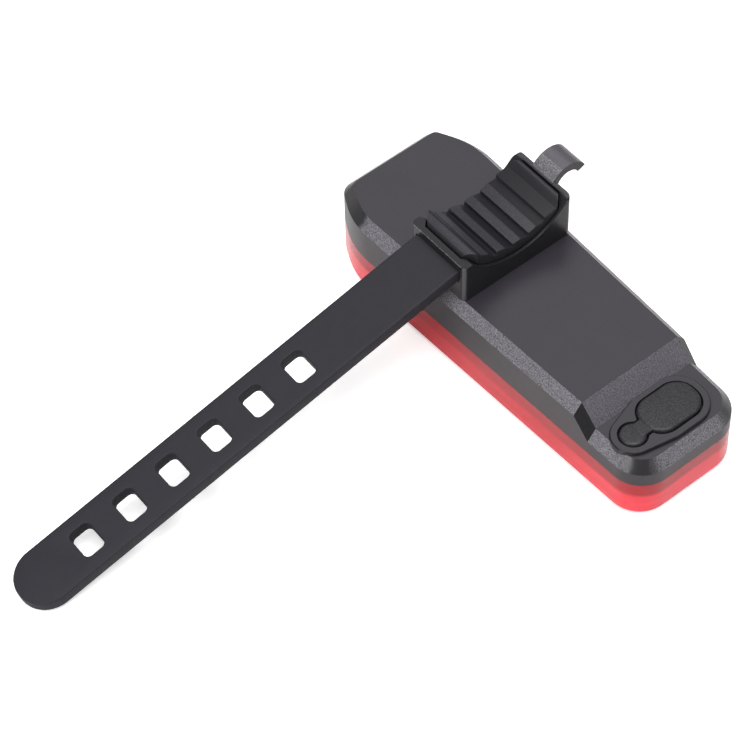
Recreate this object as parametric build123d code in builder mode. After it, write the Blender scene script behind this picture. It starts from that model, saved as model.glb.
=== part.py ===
from build123d import *
import math
import os

os.makedirs("parts", exist_ok=True)

# A strap-on bicycle rear light, lying on its lens with its back up.
# Millimetres. +X runs along the body to the charging port, +Y across it to the
# hook, +Z up out of the back. The origin is the middle of the lens's front face.

# Body outline in plan
body_length = 78.4
wide_half_width = 14.05
narrow_half_width = 11.84
shoulder_run = 7.3
shoulder_drop = 3.8
shoulder_radius = 16.0
end_corner_radius = 3.0
port_corner_radius = 6.0

# Heights
lens_depth = 8.4
housing_height = 17.1
lower_deck_height = 13.4
step_end_gap = 15.8
step_run = 3.5
bevel_inset = 1.73
bevel_drop = 2.15
lens_edge_radius = 1.5

# Walls and the joint between housing and lens
housing_wall = 1.6
deck_wall = 1.8
lower_deck_wall = 2.4
lens_wall = 1.6
lens_face = 1.8
tongue_depth = 2.2
tongue_wall = 1.2
tongue_clearance = 0.1
shelf_height = 1.0
gasket_height = 0.8

# Circuit board and what it carries
board_gap = 0.4
board_bottom = 6.4
board_thickness = 1.0
led_length = 3.5
led_width = 2.8
led_height = 0.7
led_pitch = 7.0
led_end_room = 22.4
led_screw_gap = 1.3
component_height = 0.9
component_end_gap = 5.667
component_side_gap = 1.24
reflector_gap = 0.3
cup_wall = 1.6
cup_room = 1.8
cup_taper_degrees = 6

# Board screws
board_screw_end_gap = 11.2
board_screw_side_gap = 5.05
board_screw_step_gap = 1.4
board_screw_radius = 0.8
board_screw_head_radius = 1.7
board_screw_head_height = 1.1
board_screw_length = 6.0
boss_radius = 2.3
board_screw_clearance = 0.05

# Battery
battery_end_room = 45.4
battery_side_room = 11.1
battery_thickness = 5.6
battery_step_gap = 11.9
battery_corner_radius = 1.2
battery_gap = 0.2
foam_end_room = 9.0
foam_side_room = 9.4
lead_diameter = 1.0
lead_spacing = 4.4
lead_reach = 3.0

# Charging port
port_end_gap = 7.5
port_y = 1.3
socket_length = 9.0
socket_width = 3.3
socket_height = 4.0
socket_wall = 0.3
socket_tongue_length = 6.7
socket_tongue_width = 0.7
port_clearance = 0.3
recess_depth = 1.2
rim_height = 0.6
rim_width = 1.25
cover_length = 11.2
cover_width = 7.6
cover_radius = 3.4
cover_top_height = 1.1
cover_clearance = 0.35
cover_boss_depth = 0.3
anchor_shift = 0.3
anchor_side_gap = 4.89
anchor_radius = 2.3
anchor_stem_radius = 0.9
anchor_barb_radius = 1.35
neck_width = 3.0
neck_thickness = 1.0
neck_gap = 0.1

# Power button in the end wall
button_height_z = 11.8
button_width = 10.0
button_height = 3.4
button_stand_out = 0.7
button_flange = 0.4
button_flange_thickness = 0.6
button_clearance = 0.15
switch_depth = 3.5
switch_width = 6.0
switch_height = 5.5
plunger_radius = 1.0
plunger_length = 1.6
plunger_clearance = 0.05

# Strap bracket
bracket_end_gap = 27.45
bracket_length = 13.8
bracket_near_gap = 2.25
bracket_far_gap = 2.05
near_wall_top = 25.6
far_wall_top = 26.6
bracket_corner_radius = 1.0
post_radius = 13.6
post_y = 0.3
wall_saddle_bottom = 20.9
side_wall = 0.5
near_wall = 1.2
far_wall = 0.8
tray_bottom = 19.3
tray_radius = 28.0
pad_clearance = 0.1
tray_corner = 1.8
bracket_screw_side_gap = 5.55
bracket_screw_radius = 1.0
bracket_screw_head_radius = 1.9
bracket_screw_head_height = 1.4
bracket_screw_reach = 2.7
screw_clearance = 0.1

# Hook
hook_width = 5.2
hook_outer_radius = 4.1
hook_inner_radius = 2.4
hook_reach = 2.9
hook_centre_z = 24.4
hook_tip_degrees = 22
hook_root_drop = 3.0

# Ribbed saddle pad
pad_saddle_bottom = 22.9
pad_lip_front_height = 25.4
pad_lip_crest_height = 26.8
pad_lip_length = 2.7
pad_roll_height = 26.5
pad_roll_length = 2.0
pad_roll_rise = 1.35
lip_crest_share = 0.42
rib_pitch = 3.5
rib_land = 1.7
rib_rise = 0.3
rib_fall = 0.45

# Strap
strap_width = 10.9
strap_thickness = 2.5
strap_edge_bevel = 0.3
strap_root_height = 22.6
strap_yaw_degrees = 1.6
root_length = 25.2
root_segments = 3
hole_pitch = 9.0
hole_count = 6
hole_length = 4.0
hole_width = 5.6
hole_corner_radius = 1.0
tip_reach = 14.2
segment_gap = 0.1
stub_reach = 0.2

# Cutting overrun past a face
overrun = 5.0
far_reach = 60.0

half_length = body_length / 2
step_top_x = half_length - step_end_gap
step_foot_x = step_top_x + step_run
board_screw_x = half_length - board_screw_end_gap
board_screw_y = wide_half_width - board_screw_side_gap
board_screw_front_x = step_top_x - board_screw_step_gap
leds_per_row = round((body_length - led_end_room) / led_pitch)
led_row_spacing = 2 * (board_screw_y - board_screw_head_radius - led_screw_gap) - led_width
reflector_cup_length = led_pitch - cup_wall
reflector_cup_width = led_width + cup_room
battery_length = body_length - battery_end_room
battery_width = 2 * wide_half_width - battery_side_room
battery_front_x = step_top_x - battery_step_gap
foam_length = battery_length - foam_end_room
foam_width = battery_width - foam_side_room
port_x = half_length - port_end_gap
anchor_x = port_x + anchor_shift
anchor_y = anchor_side_gap - narrow_half_width
bracket_x = bracket_end_gap - half_length
bracket_near_y = bracket_near_gap - wide_half_width
bracket_far_y = wide_half_width - bracket_far_gap
hook_centre_y = bracket_far_y + hook_reach
bracket_screw_y = wide_half_width - bracket_screw_side_gap
inner_inset = tongue_wall + housing_wall + tongue_clearance
board_top = board_bottom + board_thickness
board_inset = inner_inset + board_gap
ceiling_height = housing_height - deck_wall
lower_ceiling_height = lower_deck_height - lower_deck_wall
component_x = battery_front_x + component_end_gap
component_y = component_side_gap + board_inset - narrow_half_width
recess_floor = lower_deck_height - recess_depth
ledge_height = lens_depth - tongue_depth - gasket_height


def body_half_width(x):
    """Half the body's width at x, before its corners are rounded."""
    shoulder_x = -half_length + shoulder_run
    slope = (wide_half_width - narrow_half_width) / (half_length - shoulder_x)
    return wide_half_width - slope * (x - shoulder_x)


def body_outline(inset):
    """The plan of the body, drawn in by an inset."""
    shoulder_x = -half_length + shoulder_run
    end_y = wide_half_width - shoulder_drop
    points = [
        (-half_length, -end_y),
        (shoulder_x, -wide_half_width),
        (half_length, -narrow_half_width),
        (half_length, narrow_half_width),
        (shoulder_x, wide_half_width),
        (-half_length, end_y),
    ]
    with BuildSketch() as outline:
        with BuildLine():
            Polyline(*points, close=True)
        make_face()
        corners = outline.vertices().group_by(Axis.X)
        fillet(corners[0], end_corner_radius)
        fillet(outline.vertices().group_by(Axis.X)[-1], port_corner_radius)
        shoulders = [v for v in outline.vertices() if abs(v.X - shoulder_x) < end_corner_radius / 4]
        fillet(shoulders, shoulder_radius)
        if inset:
            offset(amount=-inset, kind=Kind.INTERSECTION)
    return outline.sketch


def section_points(x, top):
    """The housing's cross-section at x under a deck of the given height."""
    half = body_half_width(x)
    inner = half - bevel_inset
    return [
        (-half, lens_depth),
        (half, lens_depth),
        (half, top - bevel_drop),
        (inner, top),
        (-inner, top),
        (-half, top - bevel_drop),
    ]


outer_outline = body_outline(0)
wall_outline = body_outline(housing_wall)
inner_outline = body_outline(inner_inset)
bevel_degrees = math.degrees(math.atan(bevel_inset / bevel_drop))

# Back housing: the two bevelled decks, joined by the sloping step
with BuildPart() as upper_block:
    with BuildSketch(Plane.XY.offset(lens_depth)):
        add(outer_outline)
    extrude(amount=housing_height - bevel_drop - lens_depth)
    with BuildSketch(Plane.XY.offset(housing_height - bevel_drop)):
        add(outer_outline)
    extrude(amount=bevel_drop, taper=bevel_degrees)
    split(bisect_by=Plane.YZ.offset(step_top_x), keep=Keep.BOTTOM)

with BuildPart() as lower_block:
    with BuildSketch(Plane.XY.offset(lens_depth)):
        add(outer_outline)
    extrude(amount=lower_deck_height - bevel_drop - lens_depth)
    with BuildSketch(Plane.XY.offset(lower_deck_height - bevel_drop)):
        add(outer_outline)
    extrude(amount=bevel_drop, taper=bevel_degrees)
    split(bisect_by=Plane.YZ.offset(step_foot_x), keep=Keep.TOP)

with BuildPart() as step_block:
    with BuildSketch(Plane.YZ.offset(step_top_x)):
        Polygon(*section_points(step_top_x, housing_height), align=None)
    with BuildSketch(Plane.YZ.offset(step_foot_x)):
        Polygon(*section_points(step_foot_x, lower_deck_height), align=None)
    loft(ruled=True)

with BuildPart() as cavity:
    with BuildSketch(Plane.XY.offset(lens_depth - tongue_depth - overrun)):
        add(wall_outline)
    extrude(amount=housing_height)
    with BuildSketch(Plane.XZ) as ceiling:
        slope_start = step_top_x - (housing_height - ceiling_height) / 2
        with BuildLine():
            Polyline(
                (-far_reach, lens_depth + shelf_height),
                (far_reach, lens_depth + shelf_height),
                (far_reach, lower_ceiling_height),
                (step_foot_x, lower_ceiling_height),
                (slope_start, ceiling_height),
                (-far_reach, ceiling_height),
                close=True,
            )
        make_face()
    extrude(amount=far_reach, both=True, mode=Mode.INTERSECT)
    with BuildSketch(Plane.XY.offset(lens_depth - tongue_depth - overrun)):
        add(inner_outline)
    extrude(amount=tongue_depth + overrun + shelf_height)


def cover_outline(margin):
    """Plan of the port cover: a rounded tab and a round end, joined by a neck."""
    with BuildSketch() as plan:
        with Locations((port_x, port_y)):
            RectangleRounded(
                cover_width + 2 * margin, cover_length + 2 * margin, cover_radius + margin
            )
        with Locations((anchor_x, anchor_y)):
            Circle(anchor_radius + margin)
        with Locations((anchor_x, anchor_y / 2)):
            Rectangle(neck_width + 2 * margin, abs(anchor_y))
    return plan.sketch


def rim_outline(margin):
    """Plan of the rim: one smooth ring drawn tight round the tab and the round end."""
    with BuildSketch() as plan:
        with Locations((port_x, port_y)):
            RectangleRounded(
                cover_width + 2 * margin, cover_length + 2 * margin, cover_radius + margin
            )
        with Locations((anchor_x, anchor_y)):
            Circle(anchor_radius + margin)
        make_hull()
    return plan.sketch


cover_recess_plan = cover_outline(cover_clearance)
rim_plan = rim_outline(cover_clearance + rim_width)

board_screw_places = [
    (-board_screw_x, board_screw_y),
    (-board_screw_x, -board_screw_y),
    (board_screw_front_x, 0),
]
bracket_screw_places = [(bracket_x, -bracket_screw_y), (bracket_x, bracket_screw_y)]

# Raised rim round the port cover; it runs down over the bevel
with BuildPart() as port_rim:
    with BuildSketch(Plane.XY.offset(recess_floor - rim_height)):
        add(rim_plan)
    extrude(amount=recess_depth + 2 * rim_height)
    chamfer(port_rim.faces().sort_by(Axis.Z)[-1].edges(), rim_height / 3)

with BuildPart() as back_housing:
    add(upper_block.part)
    add(lower_block.part)
    add(step_block.part)
    with BuildSketch(Plane.XY.offset(lens_depth - tongue_depth)):
        add(body_outline(housing_wall + tongue_clearance))
    extrude(amount=tongue_depth + shelf_height)
    add(cavity.part, mode=Mode.SUBTRACT)
    add(port_rim.part)
    with BuildSketch(Plane.XY.offset(recess_floor)):
        add(cover_recess_plan)
    extrude(amount=recess_depth + rim_height + overrun, mode=Mode.SUBTRACT)
    with BuildSketch(Plane.XY.offset(lower_ceiling_height - overrun)):
        with Locations((port_x, port_y)):
            RectangleRounded(
                socket_width + 2 * port_clearance,
                socket_length + 2 * port_clearance,
                socket_width / 2,
            )
        with Locations((anchor_x, anchor_y)):
            Circle(anchor_stem_radius + screw_clearance)
    extrude(amount=recess_floor - lower_ceiling_height + 2 * overrun, mode=Mode.SUBTRACT)
    # Bosses for the circuit board, and the bracket's screw holes
    with BuildSketch(Plane.XY.offset(board_top)):
        with Locations(*board_screw_places):
            Circle(boss_radius)
    extrude(amount=ceiling_height + deck_wall / 4 - board_top)
    with BuildSketch(Plane.XY.offset(board_top)):
        with Locations(*board_screw_places):
            Circle(board_screw_radius + board_screw_clearance)
    extrude(amount=board_screw_length, mode=Mode.SUBTRACT)
    with BuildSketch(Plane.XY.offset(ceiling_height)):
        with Locations(*bracket_screw_places):
            Circle(bracket_screw_radius + screw_clearance)
    extrude(amount=deck_wall, mode=Mode.SUBTRACT)
    # Slot for the power button through the end wall
    with BuildSketch(Plane.YZ.offset(-half_length - overrun)):
        with Locations((0, button_height_z)):
            SlotOverall(button_width + 2 * button_clearance, button_height + 2 * button_clearance)
    extrude(amount=overrun + housing_wall + button_clearance, mode=Mode.SUBTRACT)
back_housing.part.label = "back_housing"
export_step(back_housing.part, "parts/back_housing.step")

# Lens: a red tray with a rounded front edge and a ledge for the gasket
with BuildPart() as lens:
    with BuildSketch():
        add(outer_outline)
    extrude(amount=lens_depth)
    fillet(lens.faces().sort_by(Axis.Z)[0].edges(), lens_edge_radius)
    with BuildSketch(Plane.XY.offset(lens_face)):
        add(inner_outline)
    extrude(amount=lens_depth, mode=Mode.SUBTRACT)
    with BuildSketch(Plane.XY.offset(ledge_height)):
        add(body_outline(lens_wall))
    extrude(amount=lens_depth, mode=Mode.SUBTRACT)
lens.part.label = "lens"
export_step(lens.part, "parts/lens.step")

# Gasket squeezed between the housing's tongue and the lens's ledge
with BuildPart() as housing_gasket:
    with BuildSketch(Plane.XY.offset(ledge_height)):
        add(body_outline(housing_wall + tongue_clearance))
        add(inner_outline, mode=Mode.SUBTRACT)
    extrude(amount=gasket_height)
housing_gasket.part.label = "housing_gasket"
export_step(housing_gasket.part, "parts/housing_gasket.step")

# Circuit board with the light-emitting diodes on its front
board_outline = body_outline(board_inset)

with BuildPart() as circuit_board:
    with BuildSketch(Plane.XY.offset(board_bottom)):
        add(board_outline)
        with Locations(*board_screw_places):
            Circle(board_screw_radius + screw_clearance, mode=Mode.SUBTRACT)
    extrude(amount=board_thickness)
circuit_board.part.label = "circuit_board"
export_step(circuit_board.part, "parts/circuit_board.step")

with BuildPart() as leds:
    with BuildSketch(Plane.XY.offset(board_bottom - led_height)):
        with GridLocations(led_pitch, led_row_spacing, leds_per_row, 2):
            Rectangle(led_length, led_width)
    extrude(amount=led_height)
leds.part.label = "leds"
export_step(leds.part, "parts/leds.step")

# Reflector: a tray of square cups, one over each diode
reflector_top = board_bottom - reflector_gap
reflector_bottom = lens_face + reflector_gap
with BuildPart() as reflector:
    with BuildSketch(Plane.XY.offset(reflector_bottom)):
        add(board_outline)
    extrude(amount=reflector_top - reflector_bottom)
    with BuildSketch(Plane.XY.offset(reflector_bottom)):
        with GridLocations(led_pitch, led_row_spacing, leds_per_row, 2):
            Rectangle(reflector_cup_length, reflector_cup_width)
    extrude(amount=reflector_top - reflector_bottom, taper=cup_taper_degrees, mode=Mode.SUBTRACT)
    with BuildSketch(Plane.XY.offset(reflector_bottom + reflector_gap)):
        with Locations(*board_screw_places):
            Circle(board_screw_head_radius + reflector_gap)
    extrude(amount=reflector_top, mode=Mode.SUBTRACT)
reflector.part.label = "reflector"
export_step(reflector.part, "parts/reflector.step")

# Driver and charger chips and their coil, on the back of the board
with BuildPart() as board_components:
    with BuildSketch(Plane.XY.offset(board_top)):
        with Locations((component_x, component_y + led_width)):
            Rectangle(led_length, led_length)
        with Locations((component_x, -component_y - led_width / 2)):
            Rectangle(led_width, led_width)
        with Locations((board_screw_front_x, component_y)):
            Rectangle(led_width, led_length)
    extrude(amount=component_height)
board_components.part.label = "board_components"
export_step(board_components.part, "parts/board_components.step")

with BuildPart() as board_screws:
    with BuildSketch(Plane.XY.offset(board_bottom - board_screw_head_height)):
        with Locations(*board_screw_places):
            Circle(board_screw_head_radius)
    extrude(amount=board_screw_head_height)
    chamfer(board_screws.faces().group_by(Axis.Z)[0].edges(), board_screw_head_height / 3)
    with BuildSketch(Plane.XY.offset(board_bottom)):
        with Locations(*board_screw_places):
            Circle(board_screw_radius)
    extrude(amount=board_screw_length)
board_screws.part.label = "board_screws"
export_step(board_screws.part, "parts/board_screws.step")

# Battery, held by a foam pad under the deck
battery_bottom = board_top + battery_gap
battery_top = battery_bottom + battery_thickness
battery_centre_x = battery_front_x - battery_length / 2
with BuildPart() as battery:
    with BuildSketch(Plane.XY.offset(battery_bottom)):
        with Locations((battery_centre_x, 0)):
            RectangleRounded(battery_length, battery_width, battery_corner_radius)
    extrude(amount=battery_thickness)
    chamfer(battery.edges().filter_by(Axis.X), battery_corner_radius / 2)
battery.part.label = "battery"
export_step(battery.part, "parts/battery.step")

with BuildPart() as battery_foam:
    with BuildSketch(Plane.XY.offset(battery_top)):
        with Locations((battery_centre_x, 0)):
            Rectangle(foam_length, foam_width)
    extrude(amount=ceiling_height - battery_top)
battery_foam.part.label = "battery_foam"
export_step(battery_foam.part, "parts/battery_foam.step")


def battery_lead(y):
    """One lead, out of the battery's end and down to the board."""
    lead_height = battery_bottom + battery_thickness / 2
    with BuildPart() as lead:
        with BuildLine() as route:
            Polyline(
                (battery_front_x, y, lead_height),
                (battery_front_x + lead_reach, y, lead_height),
                (battery_front_x + lead_reach, y, board_top),
            )
        with BuildSketch(Plane(origin=route.line @ 0, z_dir=route.line % 0)):
            Circle(lead_diameter / 2)
        sweep(path=route.line, transition=Transition.RIGHT)
    return lead.part


for lead_name, lead_side in (("battery_lead_red", 1), ("battery_lead_black", -1)):
    lead_part = battery_lead(lead_side * lead_spacing / 2)
    lead_part.label = lead_name
    export_step(lead_part, f"parts/{lead_name}.step")

# Charging socket standing on the board, its mouth under the port cover
with BuildPart() as charging_socket:
    with BuildSketch(Plane.XY.offset(board_top)):
        with Locations((port_x, port_y)):
            RectangleRounded(socket_width, socket_length, socket_width / 2 - socket_wall / 2)
    extrude(amount=socket_height)
    with BuildSketch(Plane.XY.offset(board_top + socket_wall)):
        with Locations((port_x, port_y)):
            RectangleRounded(
                socket_width - 2 * socket_wall,
                socket_length - 2 * socket_wall,
                socket_width / 2 - 2 * socket_wall,
            )
    extrude(amount=socket_height, mode=Mode.SUBTRACT)
charging_socket.part.label = "charging_socket"
export_step(charging_socket.part, "parts/charging_socket.step")

with BuildPart() as socket_tongue:
    with BuildSketch(Plane.XY.offset(board_top + socket_wall)):
        with Locations((port_x, port_y)):
            Rectangle(socket_tongue_width, socket_tongue_length)
    extrude(amount=socket_height - 2 * socket_wall)
socket_tongue.part.label = "socket_tongue"
export_step(socket_tongue.part, "parts/socket_tongue.step")

# Port cover: a round end anchored in the deck, and a tab that lifts on the neck
neck_y = anchor_y + anchor_radius + neck_gap
cover_top = lower_deck_height + cover_top_height
cover_bottom = recess_floor + neck_gap
with BuildPart() as port_cover_tab:
    with BuildSketch(Plane.XY.offset(cover_bottom)):
        with Locations((port_x, port_y)):
            RectangleRounded(cover_width, cover_length, cover_radius)
    extrude(amount=cover_top - cover_bottom)
    chamfer(port_cover_tab.faces().sort_by(Axis.Z)[-1].edges(), cover_clearance)
    tab_end_y = port_y - cover_length / 2
    with BuildSketch(Plane.XY.offset(cover_top - neck_thickness)):
        with Locations((anchor_x, (neck_y + tab_end_y) / 2 + cover_radius / 4)):
            Rectangle(neck_width, tab_end_y - neck_y - neck_gap + cover_radius / 2)
    extrude(amount=neck_thickness - cover_clearance / 2)
    with BuildSketch(Plane.XY.offset(cover_bottom - cover_boss_depth)):
        with Locations((port_x, port_y)):
            RectangleRounded(socket_width, socket_length, socket_width / 2 - socket_wall)
    extrude(amount=cover_boss_depth)
port_cover_tab.part.label = "port_cover_tab"
export_step(port_cover_tab.part, "parts/port_cover_tab.step")

with BuildPart() as port_cover_anchor:
    with BuildSketch(Plane.XY.offset(cover_bottom)):
        with Locations((anchor_x, anchor_y)):
            Circle(anchor_radius)
    extrude(amount=cover_top - cover_clearance - cover_bottom)
    chamfer(port_cover_anchor.faces().sort_by(Axis.Z)[-1].edges(), cover_clearance)
    barb_top = lower_ceiling_height - neck_gap
    with BuildSketch(Plane.XY.offset(barb_top)):
        with Locations((anchor_x, anchor_y)):
            Circle(anchor_stem_radius)
    extrude(amount=cover_bottom - barb_top)
    with BuildSketch(Plane.XY.offset(barb_top)):
        with Locations((anchor_x, anchor_y)):
            Circle(anchor_barb_radius)
    extrude(amount=-anchor_barb_radius, taper=cup_taper_degrees * 2)
port_cover_anchor.part.label = "port_cover_anchor"
export_step(port_cover_anchor.part, "parts/port_cover_anchor.step")

# Power button, and the side-push switch behind it
flange_front_x = -half_length + housing_wall + neck_gap
flange_back_x = flange_front_x + button_flange_thickness
with BuildPart() as power_button:
    with BuildSketch(Plane.YZ.offset(-half_length - button_stand_out)):
        with Locations((0, button_height_z)):
            SlotOverall(button_width, button_height)
    extrude(amount=flange_back_x + half_length + button_stand_out)
    chamfer(power_button.faces().sort_by(Axis.X)[0].edges(), button_stand_out / 2)
    with BuildSketch(Plane.YZ.offset(flange_front_x)):
        with Locations((0, button_height_z)):
            SlotOverall(button_width + 2 * button_flange, button_height + 2 * button_flange)
    extrude(amount=button_flange_thickness)
power_button.part.label = "power_button"
export_step(power_button.part, "parts/power_button.step")

switch_front_x = flange_back_x + plunger_length / 2
with BuildPart() as switch_plunger:
    with BuildSketch(Plane.YZ.offset(flange_back_x)):
        with Locations((0, button_height_z)):
            Circle(plunger_radius)
    extrude(amount=plunger_length)
switch_plunger.part.label = "switch_plunger"
export_step(switch_plunger.part, "parts/switch_plunger.step")

with BuildPart() as tact_switch:
    with BuildSketch(Plane.XY.offset(board_top)):
        with Locations((switch_front_x + switch_depth / 2, 0)):
            Rectangle(switch_depth, switch_width)
    extrude(amount=switch_height)
    with BuildSketch(Plane.YZ.offset(switch_front_x)):
        with Locations((0, button_height_z)):
            Circle(plunger_radius + plunger_clearance)
    extrude(amount=plunger_length, mode=Mode.SUBTRACT)
tact_switch.part.label = "tact_switch"
export_step(tact_switch.part, "parts/tact_switch.step")

# Strap bracket: a tray with saddle-shaped side walls, a slotted near wall and a hook
bracket_width = bracket_far_y - bracket_near_y
bracket_middle_y = (bracket_far_y + bracket_near_y) / 2
tray_near_y = bracket_near_y + near_wall
tray_far_y = bracket_far_y - far_wall
slot_bottom = strap_root_height - strap_thickness / 2 - pad_clearance
slot_height = strap_thickness + 2 * pad_clearance


def tray_plan(margin):
    """Plan of the tray that holds the pad, drawn in by a margin."""
    length = bracket_length - 2 * side_wall - 2 * margin
    width = tray_far_y - tray_near_y - 2 * margin
    with BuildSketch() as plan:
        with Locations((bracket_x, (tray_near_y + tray_far_y) / 2)):
            Rectangle(length, width)
        chamfer(plan.vertices(), tray_corner)
    return plan.sketch


with BuildPart() as tray_space:
    with BuildSketch(Plane.XY.offset(housing_height)):
        add(tray_plan(0))
    extrude(amount=far_wall_top)
    with BuildSketch(Plane.YZ):
        with Locations((post_y, tray_bottom + tray_radius)):
            Circle(tray_radius)
    extrude(amount=far_reach, both=True, mode=Mode.INTERSECT)

with BuildPart() as strap_bracket:
    with BuildSketch(Plane.XY.offset(housing_height)):
        with Locations((bracket_x, bracket_middle_y)):
            RectangleRounded(bracket_length, bracket_width, bracket_corner_radius)
    extrude(amount=far_wall_top - housing_height)
    with BuildSketch(Plane.YZ.offset(bracket_x)):
        with Locations((post_y, wall_saddle_bottom + post_radius)):
            Circle(post_radius)
        with Locations((bracket_near_y, near_wall_top)):
            Rectangle(bracket_width / 2, overrun, align=(Align.CENTER, Align.MIN))
    extrude(amount=bracket_length, both=True, mode=Mode.SUBTRACT)
    with BuildSketch(Plane.XZ.offset(-tray_near_y - tray_corner)):
        with Locations((bracket_x, slot_bottom + slot_height / 2)):
            Rectangle(strap_width + 4 * pad_clearance, slot_height)
    extrude(amount=tray_corner + near_wall + overrun, mode=Mode.SUBTRACT)
    with BuildSketch(Plane.YZ.offset(bracket_x - hook_width / 2)) as hook_profile:
        tip_angle = math.radians(hook_tip_degrees)
        tip_direction = (math.cos(tip_angle), math.sin(tip_angle))
        with BuildLine():
            outer_arc = CenterArc(
                (hook_centre_y, hook_centre_z), hook_outer_radius, hook_tip_degrees,
                180 - hook_tip_degrees
            )
            inner_arc = CenterArc(
                (hook_centre_y, hook_centre_z), hook_inner_radius, hook_tip_degrees,
                180 - hook_tip_degrees
            )
            Line(outer_arc @ 0, inner_arc @ 0)
            root_outer = outer_arc @ 1
            root_inner = inner_arc @ 1
            Polyline(
                root_outer,
                root_outer - Vector(0, hook_root_drop),
                (bracket_far_y - far_wall / 2, root_outer.Y - hook_root_drop - hook_inner_radius),
                root_inner,
            )
        make_face()
    extrude(amount=hook_width)
    add(tray_space.part, mode=Mode.SUBTRACT)
    with BuildSketch(Plane.XY.offset(housing_height)):
        with Locations(*bracket_screw_places):
            Circle(bracket_screw_radius + screw_clearance / 2)
    extrude(amount=bracket_screw_reach, mode=Mode.SUBTRACT)
strap_bracket.part.label = "strap_bracket"
export_step(strap_bracket.part, "parts/strap_bracket.step")

with BuildPart() as bracket_screws:
    with BuildSketch(Plane.XY.offset(ceiling_height - bracket_screw_head_height)):
        with Locations(*bracket_screw_places):
            Circle(bracket_screw_head_radius)
    extrude(amount=bracket_screw_head_height)
    chamfer(bracket_screws.faces().group_by(Axis.Z)[0].edges(), bracket_screw_head_height / 3)
    with BuildSketch(Plane.XY.offset(ceiling_height)):
        with Locations(*bracket_screw_places):
            Circle(bracket_screw_radius)
    extrude(amount=deck_wall + bracket_screw_reach - screw_clearance)
bracket_screws.part.label = "bracket_screws"
export_step(bracket_screws.part, "parts/bracket_screws.step")


# Saddle pad: saw-tooth ribs along the saddle, a lip and a roll at its ends
def saddle_height(y):
    """Height of the seat post's circle over the pad at y."""
    return pad_saddle_bottom + post_radius - math.sqrt(post_radius**2 - (y - post_y) ** 2)


def rib_points(rib_count):
    """Each rib steps up, runs level with the saddle and falls to the next."""
    points = []
    for rib in range(rib_count):
        foot_y = lip_back_y + rib * rib_pitch
        land_y = foot_y + rib_land
        if rib:
            points.append((foot_y, saddle_height(foot_y) - rib_fall))
        points.append((foot_y, saddle_height(foot_y) + rib_rise))
        points.append((land_y, saddle_height(land_y) + rib_rise))
    return points


# The strap's line: out of the bracket's slot and straight down to the floor
strap_length = root_length + hole_pitch * (hole_count - 1) + hole_pitch / 2 + tip_reach
root_y = bracket_near_y - stub_reach
drop = strap_root_height - strap_thickness / 2 + strap_edge_bevel / 4
strap_slope = math.asin(drop / strap_length)
yaw = math.radians(strap_yaw_degrees)
strap_direction = Vector(
    -math.sin(yaw) * math.cos(strap_slope),
    -math.cos(yaw) * math.cos(strap_slope),
    -math.sin(strap_slope),
)
across = Vector(-math.cos(yaw), math.sin(yaw), 0)
strap_normal = across.cross(strap_direction)
strap_root = Vector(bracket_x, root_y, strap_root_height)

pad_near_y = tray_near_y + 3 * pad_clearance
pad_far_y = tray_far_y - pad_clearance
pad_length = bracket_length - 2 * side_wall - 2 * pad_clearance
lip_back_y = pad_near_y + pad_lip_length
roll_front_y = pad_far_y - pad_roll_length
ribs_between = math.floor((roll_front_y - lip_back_y) / rib_pitch)
lip_back, *ribs = rib_points(ribs_between + 1)[:-1]
roll_front = (roll_front_y, pad_roll_height - pad_roll_rise)
with BuildPart() as pad_underside:
    with BuildSketch(Plane.YZ):
        with Locations((post_y, tray_bottom + tray_radius)):
            Circle(tray_radius - pad_clearance)
    extrude(amount=far_reach, both=True)

with BuildPart() as saddle_pad:
    with BuildSketch(Plane.YZ.offset(bracket_x - pad_length / 2)) as pad_profile:
        with BuildLine():
            ThreePointArc(
                (pad_near_y, pad_lip_front_height),
                (pad_near_y + pad_lip_length * lip_crest_share, pad_lip_crest_height),
                lip_back,
            )
            Polyline(lip_back, *ribs, roll_front)
            ThreePointArc(
                roll_front,
                (pad_far_y - pad_roll_length / 2, pad_roll_height),
                (pad_far_y, pad_roll_height - pad_roll_rise / 2),
            )
            Polyline(
                (pad_far_y, pad_roll_height - pad_roll_rise / 2),
                (pad_far_y, housing_height),
                (pad_near_y, housing_height),
                (pad_near_y, pad_lip_front_height),
            )
        make_face()
    extrude(amount=pad_length)
    with BuildSketch(Plane.XY.offset(housing_height)):
        add(tray_plan(pad_clearance))
    extrude(amount=far_wall_top, mode=Mode.INTERSECT)
    add(pad_underside.part, mode=Mode.INTERSECT)
    with BuildSketch(Plane.XZ.offset(-pad_near_y - pad_lip_length / 4)):
        with Locations((bracket_x, strap_root_height)):
            Rectangle(strap_width, strap_thickness)
    extrude(amount=near_wall + 3 * pad_clearance + stub_reach + pad_lip_length)
    split(bisect_by=Plane(origin=strap_root, z_dir=strap_direction), keep=Keep.BOTTOM)
saddle_pad.part.label = "saddle_pad"
export_step(saddle_pad.part, "parts/saddle_pad.step")

# Strap: segments from the bracket's slot down to the tip, which rests on the floor
segment_starts = [root_length / root_segments * i for i in range(root_segments)]
segment_starts += [root_length + hole_pitch * i for i in range(hole_count)]
segment_ends = segment_starts[1:] + [strap_length]


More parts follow.
